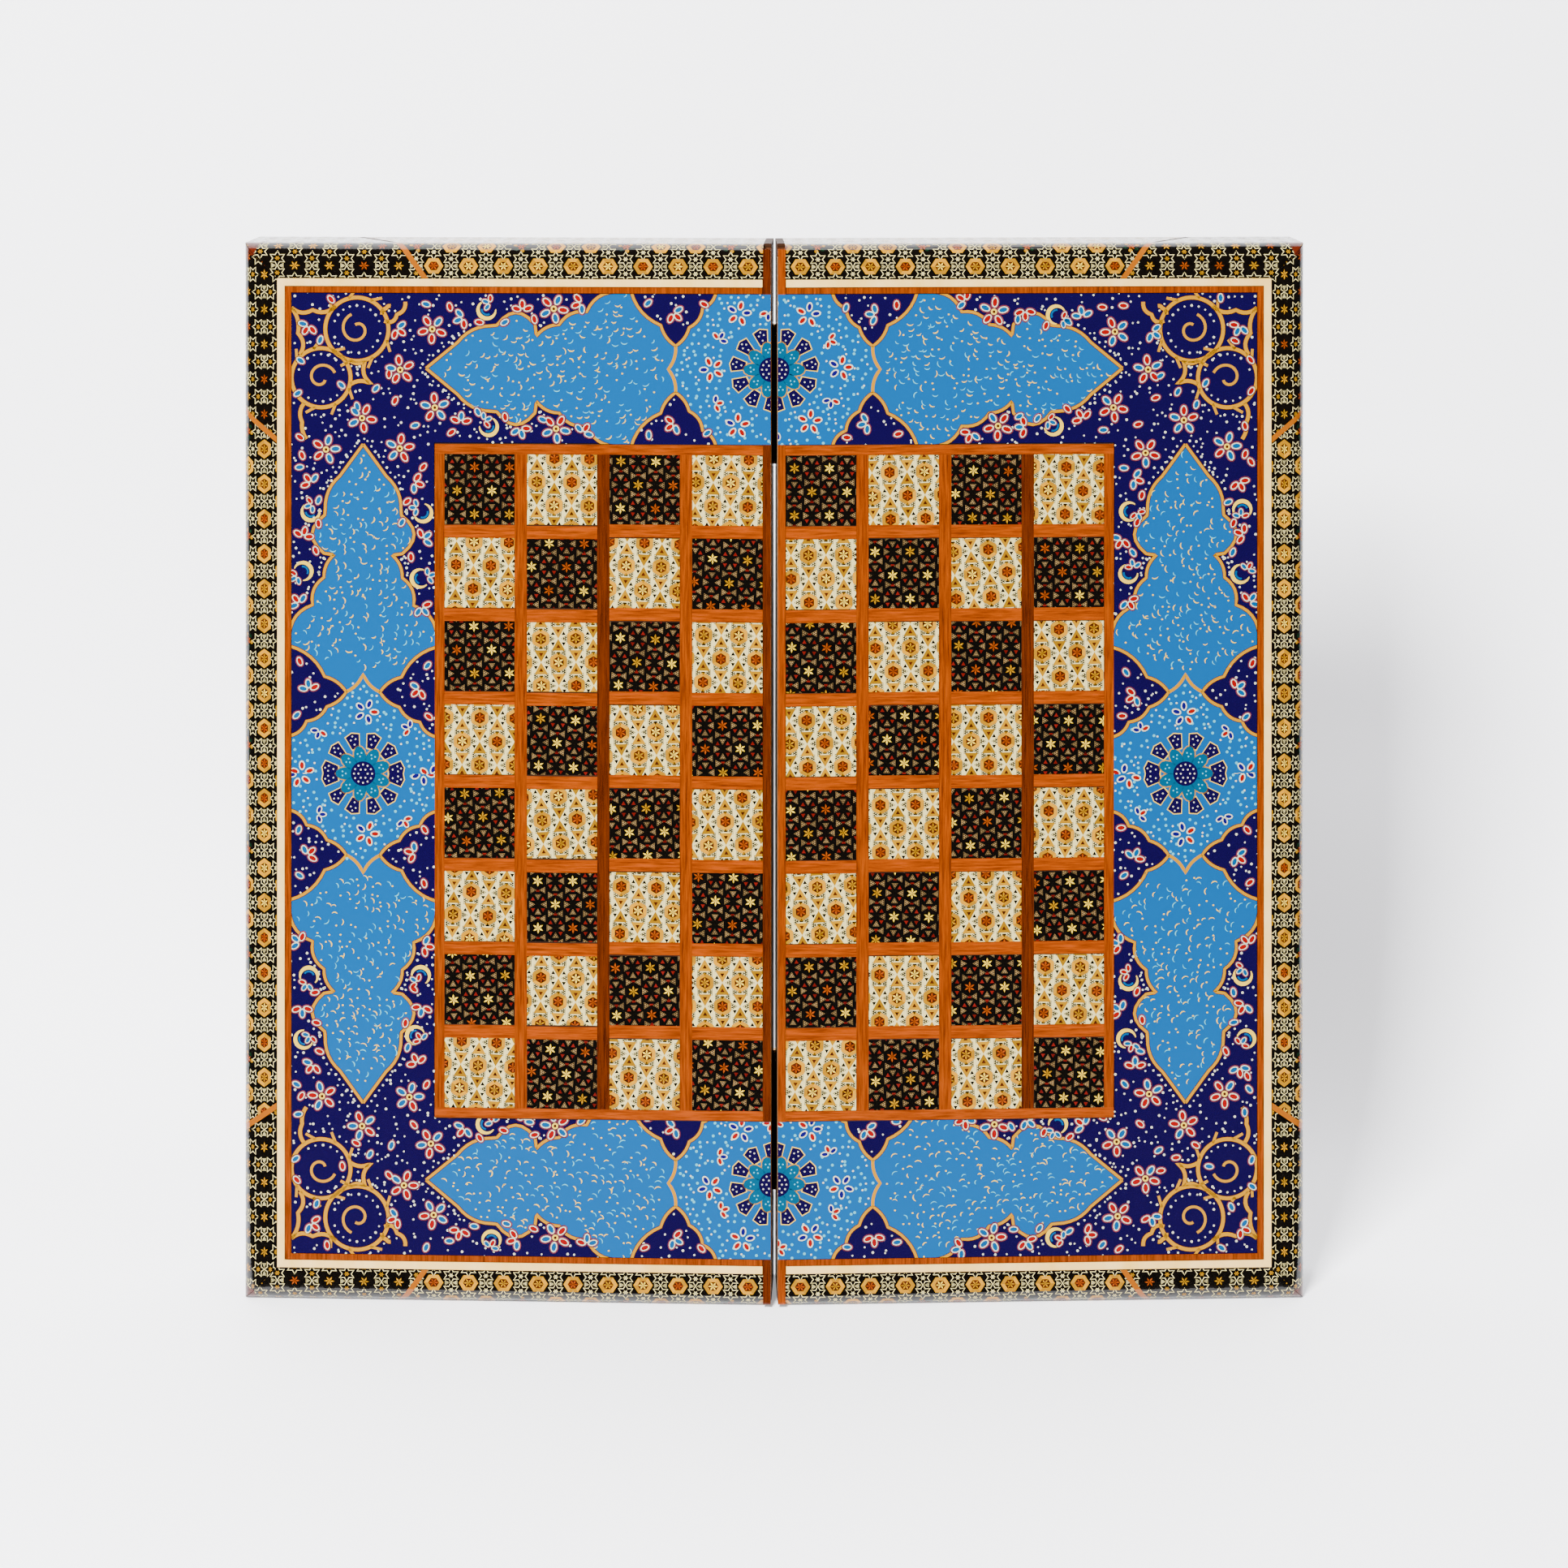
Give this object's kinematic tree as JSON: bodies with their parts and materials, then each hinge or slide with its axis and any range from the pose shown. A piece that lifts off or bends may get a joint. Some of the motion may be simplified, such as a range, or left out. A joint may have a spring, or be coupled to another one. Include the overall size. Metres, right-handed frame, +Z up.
{
  "type": "backgammon case",
  "caption": "Folding board-game case: two hinged trays of inlaid wood, a chessboard in a painted border outside, backgammon points inside, swing hooks on the side.",
  "frame": {"origin": "middle of the underside of the open case's bounding box, on the surface it stands on", "axes": "+X along the open case towards the half with the hooks, +Y from the chessboard side to the playing side, +Z up along the fold line"},
  "size_m": [0.5078, 0.0484, 0.5],
  "materials": {
    "walnut": "satin lacquer",
    "plywood": "bare",
    "khatam": "inlaid and lacquered",
    "bone": "polished bone under lacquer",
    "orange_wood": "gloss lacquer",
    "painted_panel": "painted and lacquered",
    "chess_inlay": "inlaid and lacquered",
    "brass": "polished"
  },
  "bodies": {
    "left_half": {"left_base_panel": "plywood", "left_bone_line": "bone", "left_bottom_moulding": "khatam", "left_bottom_points": "khatam", "left_bottom_rail": "walnut", "left_bottom_veneer": "khatam", "left_chess_field": "chess_inlay", "left_hinge_rail": "walnut", "left_outer_moulding": "khatam", "left_outer_rail": "walnut", "left_outer_veneer": "khatam", "left_painted_border": "painted_panel", "left_playing_field": "walnut", "left_seam_strip": "orange_wood", "left_top_moulding": "khatam", "left_top_points": "khatam", "left_top_rail": "walnut", "left_top_veneer": "khatam", "left_wood_line": "orange_wood", "lower_hinge_left_leaf": "brass", "lower_hinge_left_lower_screw": "brass", "lower_hinge_left_upper_screw": "brass", "lower_hinge_pin": "brass", "lower_latch_stud": "brass", "upper_hinge_left_leaf": "brass", "upper_hinge_left_lower_screw": "brass", "upper_hinge_left_upper_screw": "brass", "upper_hinge_pin": "brass", "upper_latch_stud": "brass"},
    "right_half": {"lower_hinge_right_leaf": "brass", "lower_hinge_right_lower_screw": "brass", "lower_hinge_right_upper_screw": "brass", "lower_latch_pivot": "brass", "right_base_panel": "plywood", "right_bone_line": "bone", "right_bottom_moulding": "khatam", "right_bottom_points": "khatam", "right_bottom_rail": "walnut", "right_bottom_veneer": "khatam", "right_chess_field": "chess_inlay", "right_hinge_rail": "walnut", "right_outer_moulding": "khatam", "right_outer_rail": "walnut", "right_outer_veneer": "khatam", "right_painted_border": "painted_panel", "right_playing_field": "walnut", "right_seam_strip": "orange_wood", "right_top_moulding": "khatam", "right_top_points": "khatam", "right_top_rail": "walnut", "right_top_veneer": "khatam", "right_wood_line": "orange_wood", "upper_hinge_right_leaf": "brass", "upper_hinge_right_lower_screw": "brass", "upper_hinge_right_upper_screw": "brass", "upper_latch_pivot": "brass"},
    "upper_hook": {"upper_latch_hook": "brass"},
    "lower_hook": {"lower_latch_hook": "brass"}
  },
  "joints": [
    {"name": "case_fold", "type": "hinge", "parent": "left_half", "child": "right_half", "pos_m": [0, 0.01577, 0.25], "axis": [0, 0, 1], "range_deg": [-4, 176]},
    {"name": "upper_hook_swing", "type": "hinge", "parent": "right_half", "child": "upper_hook", "pos_m": [0.2513, 0.01154, 0.375], "axis": [0.9994, 0.0349, 0], "range_deg": [-30, 90]},
    {"name": "lower_hook_swing", "type": "hinge", "parent": "right_half", "child": "lower_hook", "pos_m": [0.2513, 0.01154, 0.125], "axis": [0.9994, 0.0349, 0], "range_deg": [-30, 90]}
  ]
}
